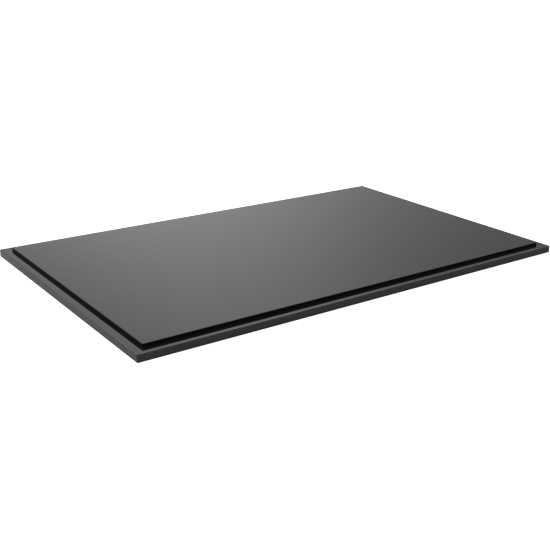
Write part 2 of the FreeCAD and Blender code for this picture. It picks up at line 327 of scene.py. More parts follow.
def rectangle_path(length, width, radius, steps=10):
    """Points and outward normals round a rectangle with round corners, counter-clockwise.

    Each corner is a quarter turn of the unit circle, scaled by the radius, about its own centre.
    """
    quarters = np.arange(4)[:, None] * math.pi / 2 + np.linspace(0, math.pi / 2, steps + 1)
    normals = np.stack([np.cos(quarters), np.sin(quarters)], -1)
    signs = np.array([[1, 1], [-1, 1], [-1, -1], [1, -1]])[:, None]
    centres = signs * (np.array([length, width]) / 2 - radius)
    return (centres + radius * normals).reshape(-1, 2), normals.reshape(-1, 2)


def carried(points, normals, profile):
    """Rings of a profile carried along a path: ring i is the path, moved outwards by profile[i, 0],
    at the height profile[i, 1]."""
    flat = points[None] + profile[:, 0, None, None] * normals[None]
    height = np.broadcast_to(profile[:, 1, None, None], flat.shape[:2] + (1,))
    return np.concatenate([flat, height], -1)


def turned(profile, steps=64):
    """Rings of a profile of radius and height turned round the Z axis."""
    circle = unit_circle(steps)
    return carried(np.zeros_like(circle), circle, np.asarray(profile, float))


def surface(rings, wrap=False, row_finish=None):
    """A closed surface through rings of points: vertices, faces, corner UVs and face finishes.

    Quads join each ring to the next. The last ring joins the first if the profile wraps, and
    otherwise the first and last rings are capped. U runs once round a ring, and V is the distance
    along the profile, in metres.
    """
    rows, steps = rings.shape[:2]
    index = np.arange(rows * steps).reshape(rows, steps)
    along = np.linalg.norm(np.diff(rings[:, 0], axis=0, append=rings[:1, 0]), axis=-1)
    v = np.concatenate([[0], np.cumsum(along)])
    if wrap:
        index = np.concatenate([index, index[:1]])
    low, high = index[:-1], index[1:]
    quads = np.stack([low, np.roll(low, -1, 1), np.roll(high, -1, 1), high], -1).reshape(-1, 4)
    u = np.arange(steps + 1) / steps
    count = len(low)
    left, right = np.broadcast_to(u[:-1], (count, steps)), np.broadcast_to(u[1:], (count, steps))
    foot, head = np.repeat(v[:count, None], steps, 1), np.repeat(v[1:count + 1, None], steps, 1)
    corners = np.stack([left, foot, right, foot, right, head, left, head], -1).reshape(-1, 2)
    finish = np.repeat(np.zeros(count, int) if row_finish is None else row_finish, steps)
    faces = quads.tolist()
    if not wrap:
        faces += [index[0][::-1].tolist(), index[-1].tolist()]
        caps = np.stack([np.tile(u[:-1], 2), np.repeat([v[0], v[rows - 1]], steps)], -1)
        corners = np.concatenate([corners, caps])
        finish = np.concatenate([finish, [0, 0]])
    return rings.reshape(-1, 3), faces, corners, finish


def copies(piece, centres):
    """The same surface at every centre."""
    vertices, faces, corners, finish = piece
    centres = np.asarray(centres, float)
    shift = np.concatenate([centres, np.zeros((len(centres), 1))], -1)
    moved = (vertices[None] + shift[:, None]).reshape(-1, 3)
    count = len(vertices)
    many = [[corner + n * count for corner in face] for n in range(len(centres)) for face in faces]
    return moved, many, np.tile(corners, (len(centres), 1)), np.tile(finish, len(centres))


def joined(pieces):
    """Several surfaces as one."""
    starts = np.cumsum([0] + [len(piece[0]) for piece in pieces])
    faces = [[corner + start for corner in face]
             for piece, start in zip(pieces, starts) for face in piece[1]]
    return (np.concatenate([piece[0] for piece in pieces]), faces,
            np.concatenate([piece[2] for piece in pieces]), np.concatenate([piece[3] for piece in pieces]))


def linked(name, data):
    """A new object with its data, in the scene."""
    thing = bpy.data.objects.new(name, data)
    bpy.context.scene.collection.objects.link(thing)
    return thing


def new_object(name, piece, materials):
    """A mesh object, smooth but for its sharp edges, with one UV map."""
    vertices, faces, corners, finish = piece
    mesh = bpy.data.meshes.new(name)
    mesh.from_pydata(vertices.tolist(), [], faces)
    for material in materials:
        mesh.materials.append(material)
    mesh.polygons.foreach_set("material_index", finish.astype(np.int32))
    mesh.uv_layers.new(name="surface").data.foreach_set("uv", corners.astype(np.float32).ravel())
    mesh.shade_smooth()
    mesh.set_sharp_from_angle(angle=SMOOTH_BELOW)
    mesh.update()
    return linked(name, mesh)


def cut_pockets(board, pockets):
    """Takes the pockets' volumes out of a board, and leaves it a plain mesh."""
    cutter = new_object(board.name + "_cutter", pockets, board.data.materials)
    difference = board.modifiers.new("pockets", "BOOLEAN")
    difference.operation = "DIFFERENCE"
    difference.solver = "EXACT"
    difference.object = cutter
    evaluated = board.evaluated_get(bpy.context.evaluated_depsgraph_get())
    whole = bpy.data.meshes.new_from_object(evaluated)
    board.modifiers.clear()
    board.data = whole
    whole.shade_smooth()
    whole.set_sharp_from_angle(angle=SMOOTH_BELOW)
    bpy.data.objects.remove(cutter)


def heights(node):
    """Lowest and highest level of a CAD node."""
    return [corner.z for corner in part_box(node)]


def grid_places(node, diameter, columns, rows):
    """Centres of alike round pieces on an even grid, from their CAD node's box to 0.1 mm.

    The outermost pieces touch the box, so their centres lie half a diameter inside it.
    """
    low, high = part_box(node)
    across = np.linspace(low.x + diameter / 2, high.x - diameter / 2, columns)
    up = np.linspace(low.y + diameter / 2, high.y - diameter / 2, rows)
    return np.round(np.stack(np.meshgrid(across, up), -1).reshape(-1, 2), 4)


def cup_places(fixings):
    """Three by three round the carrier board, without the one in the middle."""
    places = grid_places("screw_cups", fixings.cup_flange, 3, 3)
    return places[np.abs(places).max(1) > 0]


def magnet_places(fixings):
    """Three by two, shared by pots, rings, screws, inserts and keepers."""
    return grid_places("magnet_pots", fixings.pot_diameter, 3, 2)


def dowel_places(fixings):
    """One at each end: the first has the round bush and the second the slotted one."""
    return grid_places("locating_dowels", fixings.dowel_diameter, 2, 1)


def pad_places(soft):
    """Two by three, between the magnets."""
    return grid_places("rest_pads", soft.pad_diameter, 2, 3)


def fitted(thing, body, node):
    """A finished piece takes its body and the CAD node that it stands for."""
    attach(thing, body)
    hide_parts(node)


def finished(node, piece, material, body):
    """Makes the piece of one material that stands for a CAD node."""
    fitted(new_object(node + "_finished", piece, [material]), body, node)


# ---- materials ----
ACRYLIC_IOR, RUBBER_IOR, NYLON_IOR = 1.49, 1.5, 1.53
DUST_COLOUR = (0.2, 0.2, 0.19, 1)
MIX_SOCKETS = {"FLOAT": (2, 3, 0), "RGBA": (6, 7, 2)}   # a Mix node's two inputs and result, by kind


class Nodes:
    """A material's or a world's node tree, cleared, with short calls for its nodes."""

    def __init__(self, owner):
        owner.use_nodes = True
        self.tree = owner.node_tree
        self.tree.nodes.clear()

    def feed(self, socket, value):
        """Links another node's output to a socket, or sets the socket's own value."""
        if isinstance(value, bpy.types.NodeSocket):
            self.tree.links.new(value, socket)
        else:
            socket.default_value = value

    def add(self, kind, *inputs, **settings):
        """A node with its settings made, and its first inputs fed in order."""
        node = self.tree.nodes.new(kind)
        for key, value in settings.items():
            setattr(node, key, value)
        for socket, value in zip(node.inputs, inputs):
            self.feed(socket, value)
        return node

    def maths(self, operation, *values):
        """One step of arithmetic on numbers."""
        return self.add("ShaderNodeMath", *values, operation=operation).outputs[0]

    def vector(self, operation, *values, output="Vector"):
        """One step of arithmetic on vectors."""
        return self.add("ShaderNodeVectorMath", *values, operation=operation).outputs[output]

    def ranged(self, value, low, high, start=0.3, stop=0.7, curve="LINEAR"):
        """A value between start and stop mapped to low to high, and held at both ends."""
        node = self.add("ShaderNodeMapRange", value, start, stop, low, high, interpolation_type=curve)
        return node.outputs[0]

    def blend(self, factor, first, second, kind="RGBA"):
        """A colour, or a number of kind FLOAT, mixed from the first to the second."""
        node = self.add("ShaderNodeMix", factor, data_type=kind)
        start, end, result = MIX_SOCKETS[kind]
        self.feed(node.inputs[start], first)
        self.feed(node.inputs[end], second)
        return node.outputs[result]


class Finish(Nodes):
    """A node material on one Principled shader, with short calls for its patterns.

    Pattern scales are in features per metre, and depths in metres.
    """

    def __init__(self, name):
        self.material = bpy.data.materials.new(name)
        super().__init__(self.material)
        self.shader = self.add("ShaderNodeBsdfPrincipled")
        self.add("ShaderNodeOutputMaterial", self.shader.outputs[0])
        coordinates = self.add("ShaderNodeTexCoord")
        self.place = coordinates.outputs["Object"]
        self.along = coordinates.outputs["UV"]

    def put(self, node, **values):
        """Feeds a node's inputs by name, with _ for a space."""
        for key, value in values.items():
            self.feed(node.inputs[key.replace("_", " ")], value)

    def shade(self, **values):
        """Sets the shader's inputs and gives the finished material."""
        self.put(self.shader, **values)
        return self.material

    def stretched(self, scale, source=None):
        """Coordinates scaled along each axis."""
        mapping = self.add("ShaderNodeMapping")
        self.put(mapping, Vector=source or self.place, Scale=scale)
        return mapping.outputs[0]

    def noise(self, scale, detail, source=None):
        """Smooth noise, finer with each step of detail."""
        node = self.add("ShaderNodeTexNoise")
        self.put(node, Vector=source or self.place, Scale=scale, Detail=detail)
        return node.outputs["Fac"]

    def cells(self, scale, output="Distance"):
        """Scattered cells: the distance to the nearest one's middle, or its own colour."""
        node = self.add("ShaderNodeTexVoronoi")
        self.put(node, Vector=self.place, Scale=scale)
        return node.outputs[output]

    def varied(self, pattern, colour, darkest, lightest):
        """A colour that a pattern darkens and lightens between two shares of itself."""
        return self.blend(self.ranged(pattern, 0, 1), rgba(colour, darkest), rgba(colour, lightest))

    def bumped(self, height, distance, under=None):
        """A normal raised by a height, over another normal where one is given."""
        node = self.add("ShaderNodeBump")
        self.put(node, Height=height, Distance=distance)
        if under is not None:
            self.put(node, Normal=under)
        return node.outputs[0]


def rgba(colour, scale=1.0):
    """A colour times a scale, held at 1, with full opacity."""
    return tuple(min(1.0, channel * scale) for channel in colour) + (1.0,)


def polished_sheet(name, boards):
    """Cast acrylic face: cloudy polish, fine wiping marks, a slow wave and a few grains of dust."""
    finish = Finish(name)
    cloud = finish.noise(7, detail=3)
    wipe = finish.noise(1, 2, finish.stretched((35, 900, 35)))
    clouded = finish.ranged(cloud, boards.face_roughness * 0.7, boards.face_roughness * 1.5)
    rough = finish.maths("ADD", clouded, finish.ranged(wipe, 0, 0.018, start=0.55, stop=0.8))
    grain = finish.ranged(finish.cells(330), 1, 0, start=0.03, stop=0.06)
    settled = finish.ranged(finish.noise(330, detail=0), 0, 0.5, start=0.66, stop=0.7)
    colour = finish.blend(finish.maths("MULTIPLY", grain, settled), rgba(boards.colour), DUST_COLOUR)
    wave = finish.bumped(finish.noise(14, detail=1), 0.02 * MM)
    marks = finish.bumped(wipe, 0.0006 * MM, under=wave)
    return finish.shade(Base_Color=colour, Roughness=rough, Normal=marks, IOR=ACRYLIC_IOR,
                        Specular_IOR_Level=0.5)


def sawn_edge(name, boards, body, roughness, specular):
    """Edge of the sheet: fine upright ripples left by the saw, under a polish or a satin rub."""
    finish = Finish(name)
    saw = finish.noise(1, 2, finish.stretched((420, 420, 30)))
    cloud = finish.noise(40, detail=2)
    return finish.shade(Base_Color=finish.varied(saw, boards.colour, 0.88 * body, 1.12 * body),
                        Roughness=finish.ranged(cloud, roughness * 0.8, roughness * 1.25),
                        Normal=finish.bumped(saw, 0.006 * MM), IOR=ACRYLIC_IOR, Specular_IOR_Level=specular)


def milled_pocket(name, boards):
    """Milled acrylic: matte black with the cutter's fine swirls."""
    finish = Finish(name)
    swirl = finish.noise(1200, detail=3)
    return finish.shade(Base_Color=finish.varied(swirl, boards.colour, 3, 6),
                        Roughness=finish.ranged(swirl, 0.42, 0.6),
                        Normal=finish.bumped(swirl, 0.01 * MM), IOR=ACRYLIC_IOR)


def turned_metal(name, colour, roughness):
    """Turned metal: fine rings that follow the profile, with a little colour drift."""
    finish = Finish(name)
    rings = finish.noise(1, 2, finish.stretched((0.6, 5200, 1), finish.along))
    drift = finish.noise(160, detail=2)
    return finish.shade(Base_Color=finish.varied(drift, colour, 0.86, 1.08), Metallic=1.0,
                        Roughness=finish.ranged(rings, roughness * 0.7, roughness * 1.3),
                        Normal=finish.bumped(rings, 0.004 * MM), Anisotropic=0.5)


def plated_steel(name, colour, roughness, tint):
    """Zinc plate: small crystals of slightly different tone, with a faint passivation tint."""
    finish = Finish(name)
    crystals = finish.ranged(finish.cells(900, output="Color"), 0, 1, start=0, stop=1)
    tone = finish.blend(crystals, rgba(colour, 0.85), rgba(colour, 1.1))
    drift = finish.ranged(finish.noise(120, detail=2), 0, 0.35)
    fine = finish.noise(2600, detail=2)
    return finish.shade(Base_Color=finish.blend(drift, tone, tint), Metallic=1.0,
                        Roughness=finish.ranged(fine, roughness * 0.8, roughness * 1.35),
                        Normal=finish.bumped(fine, 0.004 * MM))


def nickel_plate(name, colour):
    """Bright nickel over a ground magnet, with a few small scuffs."""
    finish = Finish(name)
    scuff = finish.noise(1, 3, finish.stretched((300, 3000, 300)))
    return finish.shade(Base_Color=finish.varied(scuff, colour, 0.9, 1.06), Metallic=1.0,
                        Roughness=finish.ranged(scuff, 0.1, 0.24), Normal=finish.bumped(scuff, 0.002 * MM))


def moulded_rubber(name, colour, roughness, cell_scale, cell_depth):
    """Rubber or foam: fine cells in the surface and bloom that lightens it in patches."""
    finish = Finish(name)
    cells = finish.cells(cell_scale)
    bloom = finish.noise(90, detail=3)
    return finish.shade(Base_Color=finish.varied(bloom, colour, 0.8, 1.5),
                        Roughness=finish.ranged(bloom, roughness * 0.9, roughness * 1.1),
                        Normal=finish.bumped(cells, cell_depth), IOR=RUBBER_IOR, Specular_IOR_Level=0.4)


def moulded_plastic(name, colour, roughness):
    """Natural plastic: a fine matte skin with faint flow marks."""
    finish = Finish(name)
    skin = finish.noise(1800, detail=3)
    flow = finish.noise(1, 2, finish.stretched((120, 120, 500)))
    return finish.shade(Base_Color=finish.varied(flow, colour, 0.93, 1.03),
                        Roughness=finish.ranged(skin, roughness * 0.85, roughness * 1.15),
                        Normal=finish.bumped(skin, 0.006 * MM), IOR=NYLON_IOR, Subsurface_Weight=0.15,
                        Subsurface_Scale=1.0 * MM)


# ---- boards ----
FACE_FINISH, EDGE_FINISH, POCKET_FINISH = 0, 1, 2     # a board's materials, in the order of its list
SLACK = 1e-9              # room for rounding errors


def board_finishes(name, boards, body, roughness, specular):
    """A board's polished face, sawn edge and milled pockets."""
    return (polished_sheet(name + "_face", boards),
            sawn_edge(name + "_edge", boards, body, roughness, specular),
            milled_pocket(name + "_pocket", boards))


def as_pocket(piece):
    """The same surface with the milled finish all over."""
    vertices, faces, corners, finish = piece
    return vertices, faces, corners, np.full_like(finish, POCKET_FINISH)


def pocket(outline, centres):
    """Round pockets: a capped profile of radius and height, turned and set at every centre."""
    return as_pocket(copies(surface(turned(outline)), centres))


def mouthed(radius, floor, mouth, arris, way=1):
    """Outline of a round pocket from its floor to past its mouth, which has a small chamfer.

    way is 1 for a pocket that opens upwards and -1 for one that opens downwards.
    """
    outline = [(radius, floor), (radius, mouth - way * arris), (radius + arris, mouth),
               (radius + arris, mouth + way * OVERSHOOT)]
    return outline[::way]


def upright_pocket(outline, low, high):
    """A cutter with upright walls: an outline at two levels, capped."""
    levels = [np.column_stack([outline, np.full(len(outline), level)]) for level in (low, high)]
    return as_pocket(surface(np.stack(levels)))


def seal_size(node):
    """Outside length and width of a seal, from its CAD node's box to the nearest millimetre."""
    low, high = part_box(node)
    return np.round(np.array(high - low)[:2] / MM) * MM


def seal_groove(node, width, soft, floor, mouth):
    """A cutter for a seal's groove: a rectangle carried round the seal's own path, a gap larger."""
    grow = 2 * soft.groove_gap
    points, normals = rectangle_path(*(seal_size(node) + grow), soft.corner + soft.groove_gap)
    low, high = min(floor, mouth), max(floor, mouth)
    inside = -width - grow
    profile = np.array([(inside, low), (0, low), (0, high), (inside, high)])
    return as_pocket(surface(carried(points, normals, profile), wrap=True))


def carrier_board(boards, fixings, soft):
    """The thick board: a profile of chamfered back, flat side and quarter-round front edge carried
    along a rounded rectangle and capped, with every pocket and groove taken out.

    The sawn finish runs from the chamfer to half way round the front edge.
    """
    size = BOARD_HIGH - BOARD_LOW
    back, front = BOARD_LOW.z, BOARD_HIGH.z
    radius, chamfer = boards.carrier_round, boards.carrier_back_chamfer
    half_steps = 4
    turn = np.linspace(0, math.pi / 2, 2 * half_steps + 1)
    quarter = np.stack([radius * (np.cos(turn) - 1), front + radius * (np.sin(turn) - 1)], -1)
    foot = [(-chamfer - FLAT_BORDER, back), (-chamfer, back), (0, back + chamfer)]
    profile = np.concatenate([foot, quarter, [(-radius - FLAT_BORDER / 2, front)]])
    finish = [FACE_FINISH] + [EDGE_FINISH] * (2 + half_steps) + [FACE_FINISH] * (half_steps + 1)
    points, normals = rectangle_path(size.x, size.y, boards.carrier_corner)
    blank = surface(carried(points, normals, profile), row_finish=finish)
    finishes = board_finishes("carrier", boards, boards.carrier_edge_body, boards.carrier_edge_roughness,
                              boards.carrier_edge_specular)
    board = new_object("carrier_board_finished", blank, finishes)

    gap, arris = boards.bond_gap, boards.pocket_arris
    cup_bore = fixings.cup_body / 2 + gap
    cup_step = heights("screw_cups")[1] - fixings.cup_flange_depth
    cup_seat = [(cup_bore, back - OVERSHOOT), (cup_bore, cup_step)]
    cup_seat += mouthed(fixings.cup_flange / 2 + gap, cup_step, front, arris)
    insert_low, insert_high = heights("threaded_inserts")
    insert_bore = fixings.insert_diameter / 2 + gap
    insert_rim = fixings.insert_flange / 2 + gap
    insert_step = insert_high - fixings.insert_flange_depth
    pot_floor = heights("magnet_pots")[0]
    pot_seat = [(insert_bore, insert_low), (insert_bore, insert_step), (insert_rim, insert_step),
                (insert_rim, pot_floor)]
    pot_seat += mouthed(fixings.pot_diameter / 2 + gap, pot_floor, front, arris)
    dowel_seat = mouthed(fixings.dowel_diameter / 2 + gap, heights("locating_dowels")[0], front, arris)
    pad_seat = mouthed(soft.pad_diameter / 2 + gap, heights("rest_pads")[0], front, arris)
    cut_pockets(board, joined([
        pocket(cup_seat, cup_places(fixings)),
        pocket(pot_seat, magnet_places(fixings)),
        pocket(dowel_seat, dowel_places(fixings)),
        pocket(pad_seat, pad_places(soft)),
        seal_groove("face_seal", soft.face_seal_width, soft, heights("face_seal")[0], front + OVERSHOOT),
        seal_groove("rear_seal", soft.rear_seal_width, soft, heights("rear_seal")[1], back - OVERSHOOT),
    ]))
    fitted(board, CARRIER, "carrier_board")


def stadium_path(reach, radius, centre):
    """Points round a stadium: a half circle at each end, a reach either side of its centre."""
    circle = unit_circle(ROUND_STEPS)
    ends = np.where(circle[:, :1] >= -SLACK, reach, -reach) * np.array([[1, 0]])
    return radius * circle + ends + centre


def slotted_reach(fixings):
    """How far the slotted bush's round ends stand either side of its centre."""
    low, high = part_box("slotted_dowel_bush")
    return (high.x - low.x - fixings.bush_diameter) / 2


def face_plate(boards, fixings):
    """The thin plate: a profile of sharp back edge, flat side and small softened chamfer carried
    along a rounded rectangle and capped, with its back pockets and the coin slot taken out."""
    size = PLATE_HIGH - PLATE_LOW
    back, front = PLATE_LOW.z, PLATE_HIGH.z
    chamfer = boards.plate_arris
    side = round_corners([(0, back), (0, front - chamfer), (-chamfer, front), (-4 * chamfer, front)],
                         chamfer / 3, closed=False)
    profile = np.concatenate([[(-FLAT_BORDER, back)], side])
    finish = [FACE_FINISH, EDGE_FINISH] + [FACE_FINISH] * (len(profile) - 3)
    points, normals = rectangle_path(size.x, size.y, boards.plate_corner)
    blank = surface(carried(points, normals, profile), row_finish=finish)
    finishes = board_finishes("plate", boards, 1.0, boards.plate_edge_roughness, boards.plate_edge_specular)
    plate = new_object("face_plate_finished", blank, finishes)

    gap, arris = boards.bond_gap, boards.pocket_arris
    keeper_seat = mouthed(fixings.keeper_diameter / 2 + gap, heights("keeper_pads")[1], back, arris, -1)
    bush_radius = fixings.bush_diameter / 2 + gap
    bush_floor = heights("round_dowel_bush")[1]
    round_place, slot_place = dowel_places(fixings)
    slot = stadium_path(slotted_reach(fixings), bush_radius, slot_place)
    inner, outer = PLATE_HIGH.x - boards.coin_slot_depth, PLATE_HIGH.x + OVERSHOOT
    half = boards.coin_slot_width / 2
    coin_slot = [(inner, -half), (outer, -half), (outer, half), (inner, half)]
    cut_pockets(plate, joined([
        pocket(keeper_seat, magnet_places(fixings)),
        pocket(mouthed(bush_radius, bush_floor, back, arris, -1), [round_place]),
        upright_pocket(slot, back - OVERSHOOT, bush_floor),
        upright_pocket(coin_slot, back - OVERSHOOT, back + boards.coin_slot_height),
    ]))
    fitted(plate, FACE, "face_plate")


# ---- fixings ----
AXIS_CAP = 0.15 * MM      # radius of the small cap that closes a turned piece at its axis
SOFT_EDGE = 0.18 * MM     # rounding on turned and pressed edges
TAPE_EDGE = 0.08 * MM     # rounding on the adhesive discs
SCREW_CLEARANCE = 0.15 * MM   # gap round a magnet screw in its pot
RING_GAP = 0.1 * MM           # gap round a ring magnet in its pot
INSERT_GAP = 0.05 * MM        # gap round a screw's thread in its insert
THREAD_DEPTH = 0.6            # a thread's depth as a share of its pitch
THREAD_START = 0.3            # a thread's height at the screw's tip as a share of its depth
ROWS_PER_TURN = 8
DRILL_POINT = 0.2 * MM        # depth of the drilled point below a socket's floor
DRILL_SHARE = 0.2             # radius at its bottom as a share of the socket's
KNURL_DEPTH = 0.3 * MM
DOWEL_LEAD = 0.6 * MM
BUSH_LEAD = 0.35 * MM
DIMPLE = ((AXIS_CAP, 0.25 * MM), (0.9 * MM, 0.2 * MM), (1.3 * MM, 0.0))   # a keeper's: radius and depth
BLUE_PASSIVATION, YELLOW_PASSIVATION = (0.6, 0.63, 0.7, 1), (0.66, 0.6, 0.48, 1)
BLUED_STEEL = (0.32, 0.34, 0.38)


def screw_cups(fixings):
    """Steel cups: a flanged tube with a 90 degree countersink, every edge softened."""
    low, high = heights("screw_cups")
    hole, mouth = fixings.cup_hole / 2, fixings.cup_mouth / 2
    body, flange = fixings.cup_body / 2, fixings.cup_flange / 2
    step = high - fixings.cup_flange_depth
    outline = [(hole, low), (body, low), (body, step), (flange, step), (flange, high), (mouth, high),
               (hole, high - (mouth - hole))]
    rings = turned(round_corners(outline, SOFT_EDGE))
    steel = turned_metal("turned_stainless", fixings.steel_colour, roughness=0.24)
    finished("screw_cups", copies(surface(rings, wrap=True), cup_places(fixings)), steel, CARRIER)


def magnet_pots(fixings):
    """Pressed steel cups: a floor with a countersunk hole and a wall with a rounded rim."""
    low, high = heights("magnet_pots")
    radius, wall, floor = fixings.pot_diameter / 2, fixings.pot_wall, low + fixings.pot_floor
    hole = fixings.screw_diameter / 2 + SCREW_CLEARANCE
    mouth = fixings.screw_head / 2 + SCREW_CLEARANCE
    outline = [(hole, low), (radius, low), (radius, high), (radius - wall, high), (radius - wall, floor),
               (mouth, floor), (hole, floor - (mouth - hole))]
    rings = turned(round_corners(outline, 2 * SOFT_EDGE))
    zinc = plated_steel("bright_zinc", fixings.zinc_colour, roughness=0.26, tint=BLUE_PASSIVATION)
    finished("magnet_pots", copies(surface(rings, wrap=True), magnet_places(fixings)), zinc, CARRIER)


def magnet_rings(fixings):
    """Ring magnets: a square section with small rounded edges."""
    low, high = heights("magnet_rings")
    inner = fixings.ring_hole / 2
    outer = fixings.pot_diameter / 2 - fixings.pot_wall - RING_GAP
    rings = turned(round_corners([(inner, low), (outer, low), (outer, high), (inner, high)], 2 * SOFT_EDGE))
    nickel = nickel_plate("nickel_plate", fixings.nickel_colour)
    finished("magnet_rings", copies(surface(rings, wrap=True), magnet_places(fixings)), nickel, CARRIER)


def saw_wave(turns):
    """Triangle wave of a number of turns: 0 at whole turns and 1 half way between."""
    return 1 - np.abs(2 * (turns % 1) - 1)


def magnet_screws(fixings):
    """Countersunk socket screws.

    The thread is a cylinder whose radius follows a triangle wave of height over pitch less angle
    over a turn, and it fades over one pitch at both ends. The socket is a ring whose radius is
    half the flats over the cosine of the angle from the nearest flat.
    """
    low, high = heights("magnet_screws")
    pitch = fixings.screw_pitch
    outer, head = fixings.screw_diameter / 2, fixings.screw_head / 2
    depth = THREAD_DEPTH * pitch
    neck = high - (head - outer)
    turn = np.arange(ROUND_STEPS) / ROUND_STEPS
    level = np.arange(low, neck, pitch / ROWS_PER_TURN)
    fade = np.clip((neck - level) / pitch, 0, 1) * np.clip((level - low) / pitch, THREAD_START, 1)
    thread = outer - depth * (1 - fade[:, None] * saw_wave(level[:, None] / pitch - turn))
    from_flat = (turn * FULL_TURN + math.pi / 6) % (math.pi / 3) - math.pi / 6
    hexagon = fixings.socket_flats / 2 / np.cos(from_flat)
    socket_floor = high - fixings.socket_depth
    head_and_socket = (
        (outer - depth, neck), (outer, neck), (head - SOFT_EDGE, high - 2 * SOFT_EDGE),
        (head, high - SOFT_EDGE), (head - SOFT_EDGE, high), (hexagon + SOFT_EDGE, high),
        (hexagon, high - SOFT_EDGE), (hexagon, socket_floor),
        (hexagon * DRILL_SHARE, socket_floor - DRILL_POINT),
    )
    radius = np.concatenate([thread, [np.broadcast_to(r, ROUND_STEPS) for r, _ in head_and_socket]])
    height = np.concatenate([level, [z for _, z in head_and_socket]])
    rings = np.concatenate([radius[..., None] * unit_circle(ROUND_STEPS),
                            np.repeat(height[:, None, None], ROUND_STEPS, 1)], -1)
    blued = turned_metal("blued_steel", BLUED_STEEL, roughness=0.22)
    finished("magnet_screws", copies(surface(rings), magnet_places(fixings)), blued, CARRIER)


def threaded_inserts(fixings):
    """Brass inserts: a flanged tube whose body's radius follows a triangle wave round the turn."""
    low, high = heights("threaded_inserts")
    steps = 4 * fixings.knurl_teeth
    body, flange = fixings.insert_diameter / 2, fixings.insert_flange / 2
    bore = fixings.screw_diameter / 2 + INSERT_GAP
    step = high - fixings.insert_flange_depth
    outline = round_corners([(bore, low), (body, low), (body, step), (flange, step), (flange, high),
                             (bore, high)], SOFT_EDGE / 2, steps=3)
    rings = turned(outline, steps)
    knurled = (np.abs(outline[:, 0] - body) < SOFT_EDGE) & (outline[:, 1] < step)
    notch = KNURL_DEPTH * (1 - saw_wave(np.arange(steps) * fixings.knurl_teeth / steps))
    shrink = 1 - knurled[:, None] * notch / body
    rings[..., :2] *= shrink[..., None]
    brass = turned_metal("turned_brass", fixings.brass_colour, roughness=0.26)
    finished("threaded_inserts", copies(surface(rings, wrap=True), magnet_places(fixings)), brass, CARRIER)


def locating_dowels(fixings):
    """Steel dowels: a cylinder with a rounded foot and a long lead at its tip."""
    low, high = heights("locating_dowels")
    radius, foot = fixings.dowel_diameter / 2, DOWEL_LEAD / 2
    outline = round_corners([(AXIS_CAP, low), (radius - foot, low), (radius, low + foot),
                             (radius, high - DOWEL_LEAD), (radius - DOWEL_LEAD, high), (AXIS_CAP, high)],
                            2 * SOFT_EDGE, closed=False)
    ground = turned_metal("ground_stainless", fixings.steel_colour, roughness=0.16)
    finished("locating_dowels", copies(surface(turned(outline)), dowel_places(fixings)), ground, CARRIER)


def dowel_bushes(fixings):
    """Nylon bushes: the section of the wall, with a lead at the hole's mouth, carried round between
    the hole's outline and the outside's. The second hole is a slot."""
    nylon = moulded_plastic("natural_nylon", fixings.nylon_colour, roughness=0.42)
    hole = fixings.dowel_diameter / 2 + fixings.dowel_fit
    outside = fixings.bush_diameter / 2
    wall = outside - hole
    low, high = heights("slotted_dowel_bush")
    profile = round_corners([(BUSH_LEAD, low), (wall, low), (wall, high), (0, high), (0, low + BUSH_LEAD)],
                            SOFT_EDGE)
    share = profile[:, 0, None, None] / wall
    kinds = (("round_dowel_bush", 0.0, 0.0),
             ("slotted_dowel_bush", fixings.slot_travel / 2, slotted_reach(fixings)))
    for centre, (node, inner_reach, outer_reach) in zip(dowel_places(fixings), kinds):
        inner = stadium_path(inner_reach, hole, centre)
        outer = stadium_path(outer_reach, outside, centre)
        flat = inner * (1 - share) + outer * share
        rings = np.concatenate([flat, np.repeat(profile[:, 1, None, None], flat.shape[1], 1)], -1)
        finished(node, surface(rings, wrap=True), nylon, FACE)


def keeper_discs(fixings):
    """Steel keepers: a blanked disc with rounded edges and a shallow centre dimple."""
    low, high = heights("keeper_discs")
    radius = fixings.keeper_diameter / 2
    outline = round_corners([*((r, low + depth) for r, depth in DIMPLE), (radius, low), (radius, high),
                             (AXIS_CAP, high)], 1.5 * SOFT_EDGE, closed=False)
    zinc = plated_steel("keeper_zinc", fixings.zinc_colour, roughness=0.3, tint=YELLOW_PASSIVATION)
    finished("keeper_discs", copies(surface(turned(outline)), magnet_places(fixings)), zinc, FACE)


def keeper_pads(fixings):
    """Adhesive discs between the keepers and the face plate, with rounded edges."""
    low, high = heights("keeper_pads")
    radius = fixings.keeper_diameter / 2
    outline = round_corners([(AXIS_CAP, low), (radius, low), (radius, high), (AXIS_CAP, high)], TAPE_EDGE,
                            closed=False)
    tape = moulded_rubber("adhesive_foam", fixings.tape_colour, roughness=0.7, cell_scale=2200,
                          cell_depth=0.02 * MM)
    finished("keeper_pads", copies(surface(turned(outline)), magnet_places(fixings)), tape, FACE)


# ---- seals and pads ----
FOAM_EDGE = 0.5 * MM      # rounding on the foam strip
PAD_RIM = 0.5 * MM        # width of a rest pad's rounded rim
PAD_DOME = 0.12 * MM      # fall of a rest pad's top from its middle out to its full radius
PAD_GROOVE = 0.1 * MM     # depth of the grooves in a rest pad's top
GROOVE_STEP, GROOVE_WIDTH = 0.36, 0.035     # shares of a rest pad's radius


def seal_strip(node, profile, material, soft):
    """A seal: its section carried round a rounded rectangle."""
    points, normals = rectangle_path(*seal_size(node), soft.corner, steps=16)
    finished(node, surface(carried(points, normals, profile), wrap=True), material, CARRIER)


